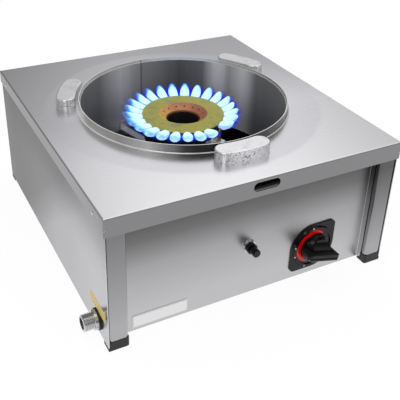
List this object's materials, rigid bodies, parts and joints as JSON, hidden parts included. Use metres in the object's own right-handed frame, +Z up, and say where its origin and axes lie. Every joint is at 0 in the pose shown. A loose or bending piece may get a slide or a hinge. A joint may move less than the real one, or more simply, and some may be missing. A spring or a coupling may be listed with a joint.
{
  "type": "gas wok cooker",
  "caption": "Table-top gas cooker: low square stainless cabinet with one deep round burner well, curved wok supports, a front knob, a push-button igniter and a side gas inlet.",
  "frame": {"origin": "on the floor plane, below the middle of the whole object, inlet and knob included", "axes": "+Z up, the controls face -Y, +X to the right when seen from the front; the gas inlet is at -X"},
  "size_m": [0.419, 0.444, 0.198],
  "materials": {
    "lid_steel": "satin brushed",
    "side_steel": "glossy bright-rolled",
    "front_steel": "satin",
    "leg_steel": "satin",
    "well_steel": "brushed, upright grain",
    "dark_steel": "dark matt",
    "foot_rubber": "matt",
    "fastener_steel": "plain",
    "support_alloy": "polished casting",
    "strap_steel": "plain sheet",
    "burner_iron": "as cast",
    "burner_plate": "yellow-olive, heat tinted",
    "gas_brass": "machined",
    "gas_pipe": "plain tube",
    "inlet_steel": "bright",
    "seal_rubber": "matt",
    "valve_alloy": "die cast",
    "knob_plastic": "half gloss",
    "bezel_plastic": "gloss",
    "igniter_plastic": "half gloss",
    "collar_chrome": "bright",
    "lead_rubber": "smooth",
    "electrode_steel": "plain wire",
    "ceramic": "glazed white",
    "probe_copper": "drawn"
  },
  "bodies": {
    "cabinet": {"top_panel": "lid_steel", "left_side_panel": "side_steel", "right_side_panel": "side_steel", "front_left_leg": "leg_steel", "front_right_leg": "leg_steel", "rear_left_leg": "leg_steel", "rear_right_leg": "leg_steel", "front_panel": "front_steel", "rear_panel": "front_steel", "base_plate": "dark_steel", "front_left_foot": "foot_rubber", "front_right_foot": "foot_rubber", "rear_left_foot": "foot_rubber", "rear_right_foot": "foot_rubber", "lid_rivets": "fastener_steel", "rear_screws": "fastener_steel", "well_liner": "well_steel", "well_collar": "lid_steel", "wok_support_left": "support_alloy", "wok_support_right": "support_alloy", "wok_support_front": "support_alloy", "support_screws": "fastener_steel", "burner_stand": "strap_steel", "stand_screws": "fastener_steel", "burner_body": "burner_iron", "burner_cap": "burner_plate", "mixing_tube": "burner_iron", "tube_screws": "fastener_steel", "injector": "gas_brass", "injector_holder": "gas_brass", "holder_bracket": "strap_steel", "supply_pipe": "gas_pipe", "inlet_pipe": "gas_pipe", "pipe_nuts": "gas_brass", "inlet_nipple": "inlet_steel", "inlet_seal": "seal_rubber", "inlet_locknut": "inlet_steel", "inlet_union": "gas_brass", "valve_body": "gas_brass", "valve_bonnet": "valve_alloy", "bonnet_screws": "fastener_steel", "magnet_unit": "valve_alloy", "bezel": "bezel_plastic", "igniter_body": "igniter_plastic", "igniter_collar": "collar_chrome", "igniter_locknut": "collar_chrome", "ignition_lead": "lead_rubber", "spark_electrode": "electrode_steel", "electrode_insulator": "ceramic", "thermocouple": "probe_copper", "thermocouple_lead": "probe_copper", "probe_bracket": "strap_steel"},
    "knob_carrier": {"spring_sleeve": "valve_alloy"},
    "knob_turning": {"valve_spindle": "valve_alloy", "knob": "knob_plastic"},
    "igniter_key": {"igniter_button": "igniter_plastic"},
    "shutter": {"air_shutter": "strap_steel"}
  },
  "joints": [
    {"name": "knob_push", "type": "slide", "parent": "cabinet", "child": "knob_carrier", "axis": [0, 1, 0], "range_m": [0, 0.003], "stiffness_N_per_m": 1500, "springref_m": -0.002},
    {"name": "knob_turn", "type": "hinge", "parent": "knob_carrier", "child": "knob_turning", "pos_m": [0.09895, -0.21045, 0.048], "axis": [0, -1, 0], "range_deg": [-75, 105]},
    {"name": "igniter_press", "type": "slide", "parent": "cabinet", "child": "igniter_key", "axis": [0, 1, 0], "range_m": [0, 0.006], "stiffness_N_per_m": 500, "springref_m": -0.004},
    {"name": "shutter_turn", "type": "hinge", "parent": "cabinet", "child": "shutter", "pos_m": [0.02782, -0.13945, 0.048], "axis": [0, 1, 0], "range_deg": [0, 45]}
  ]
}
